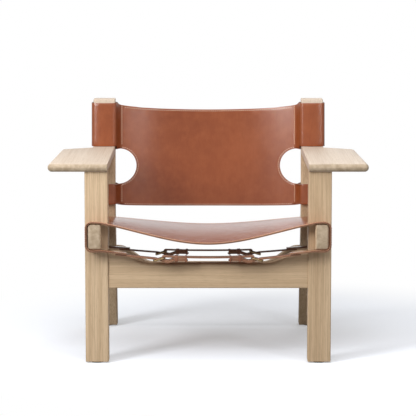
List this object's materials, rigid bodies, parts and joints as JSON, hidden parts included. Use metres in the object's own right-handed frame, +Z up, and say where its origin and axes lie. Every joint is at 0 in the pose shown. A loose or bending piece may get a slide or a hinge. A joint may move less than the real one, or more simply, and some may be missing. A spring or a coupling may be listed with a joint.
{
  "type": "leather sling lounge chair",
  "caption": "Low lounge chair: oak frame with broad flat armrests, leather seat and back slings whose flaps are drawn together by buckled straps.",
  "frame": {"origin": "on the floor, under the middle of the chair's bounding box", "axes": "+X to the right as seen from the front, +Y to the back, +Z up; the sitter faces -Y"},
  "size_m": [0.825, 0.6002, 0.652],
  "materials": {
    "oak": "soaped oak, matt, fine straight grain",
    "leather": "smooth saddle leather with a soft sheen, stitched edges",
    "brass": "satin brass",
    "glide": "dark matt plastic"
  },
  "bodies": {
    "chair": {"right_front_leg": "oak", "right_rear_post": "oak", "right_side_rail": "oak", "right_armrest": "oak", "left_front_leg": "oak", "left_rear_post": "oak", "left_side_rail": "oak", "left_armrest": "oak", "front_rail": "oak", "rear_rail": "oak", "right_front_glide": "glide", "right_rear_glide": "glide", "left_front_glide": "glide", "left_rear_glide": "glide", "seat_sling": "leather", "back_sling": "leather", "seat_front_strap": "leather", "seat_middle_strap": "leather", "back_top_strap": "leather", "back_middle_strap": "leather", "back_lower_strap": "leather", "seat_front_right_billet": "leather", "seat_front_left_billet": "leather", "seat_middle_right_billet": "leather", "seat_middle_left_billet": "leather", "back_top_right_billet": "leather", "back_top_left_billet": "leather", "back_middle_right_billet": "leather", "back_middle_left_billet": "leather", "back_lower_right_billet": "leather", "back_lower_left_billet": "leather", "seat_front_right_buckle": "brass", "seat_front_left_buckle": "brass", "seat_middle_right_buckle": "brass", "seat_middle_left_buckle": "brass", "back_top_right_buckle": "brass", "back_top_left_buckle": "brass", "back_middle_right_buckle": "brass", "back_middle_left_buckle": "brass", "back_lower_right_buckle": "brass", "back_lower_left_buckle": "brass"},
    "seat_front_right_tongue": {"seat_front_right_tongue": "brass"},
    "seat_front_left_tongue": {"seat_front_left_tongue": "brass"},
    "seat_middle_right_tongue": {"seat_middle_right_tongue": "brass"},
    "seat_middle_left_tongue": {"seat_middle_left_tongue": "brass"},
    "back_top_right_tongue": {"back_top_right_tongue": "brass"},
    "back_top_left_tongue": {"back_top_left_tongue": "brass"},
    "back_middle_right_tongue": {"back_middle_right_tongue": "brass"},
    "back_middle_left_tongue": {"back_middle_left_tongue": "brass"},
    "back_lower_right_tongue": {"back_lower_right_tongue": "brass"},
    "back_lower_left_tongue": {"back_lower_left_tongue": "brass"}
  },
  "joints": [
    {"name": "seat_front_right_tongue_hinge", "type": "hinge", "parent": "chair", "child": "seat_front_right_tongue", "pos_m": [0.1137, -0.2811, 0.27934], "axis": [0, 0.9949, -0.1005], "range_deg": [0, 25]},
    {"name": "seat_front_left_tongue_hinge", "type": "hinge", "parent": "chair", "child": "seat_front_left_tongue", "pos_m": [-0.1137, -0.2811, 0.27934], "axis": [0, -0.9949, 0.1005], "range_deg": [0, 25]},
    {"name": "seat_middle_right_tongue_hinge", "type": "hinge", "parent": "chair", "child": "seat_middle_right_tongue", "pos_m": [0.11362, -0.05898, 0.2627], "axis": [0, 0.9949, -0.1005], "range_deg": [0, 25]},
    {"name": "seat_middle_left_tongue_hinge", "type": "hinge", "parent": "chair", "child": "seat_middle_left_tongue", "pos_m": [-0.11362, -0.05898, 0.2627], "axis": [0, -0.9949, 0.1005], "range_deg": [0, 25]},
    {"name": "back_top_right_tongue_hinge", "type": "hinge", "parent": "chair", "child": "back_top_right_tongue", "pos_m": [0.1156, 0.25382, 0.5962], "axis": [0, 0.1359, 0.9907], "range_deg": [0, 25]},
    {"name": "back_top_left_tongue_hinge", "type": "hinge", "parent": "chair", "child": "back_top_left_tongue", "pos_m": [-0.1156, 0.25382, 0.5962], "axis": [0, -0.1359, -0.9907], "range_deg": [0, 25]},
    {"name": "back_middle_right_tongue_hinge", "type": "hinge", "parent": "chair", "child": "back_middle_right_tongue", "pos_m": [0.1156, 0.24797, 0.55351], "axis": [0, 0.1359, 0.9907], "range_deg": [0, 25]},
    {"name": "back_middle_left_tongue_hinge", "type": "hinge", "parent": "chair", "child": "back_middle_left_tongue", "pos_m": [-0.1156, 0.24797, 0.55351], "axis": [0, -0.1359, -0.9907], "range_deg": [0, 25]},
    {"name": "back_lower_right_tongue_hinge", "type": "hinge", "parent": "chair", "child": "back_lower_right_tongue", "pos_m": [0.1156, 0.2257, 0.39121], "axis": [0, 0.1359, 0.9907], "range_deg": [0, 25]},
    {"name": "back_lower_left_tongue_hinge", "type": "hinge", "parent": "chair", "child": "back_lower_left_tongue", "pos_m": [-0.1156, 0.2257, 0.39121], "axis": [0, -0.1359, -0.9907], "range_deg": [0, 25]}
  ]
}
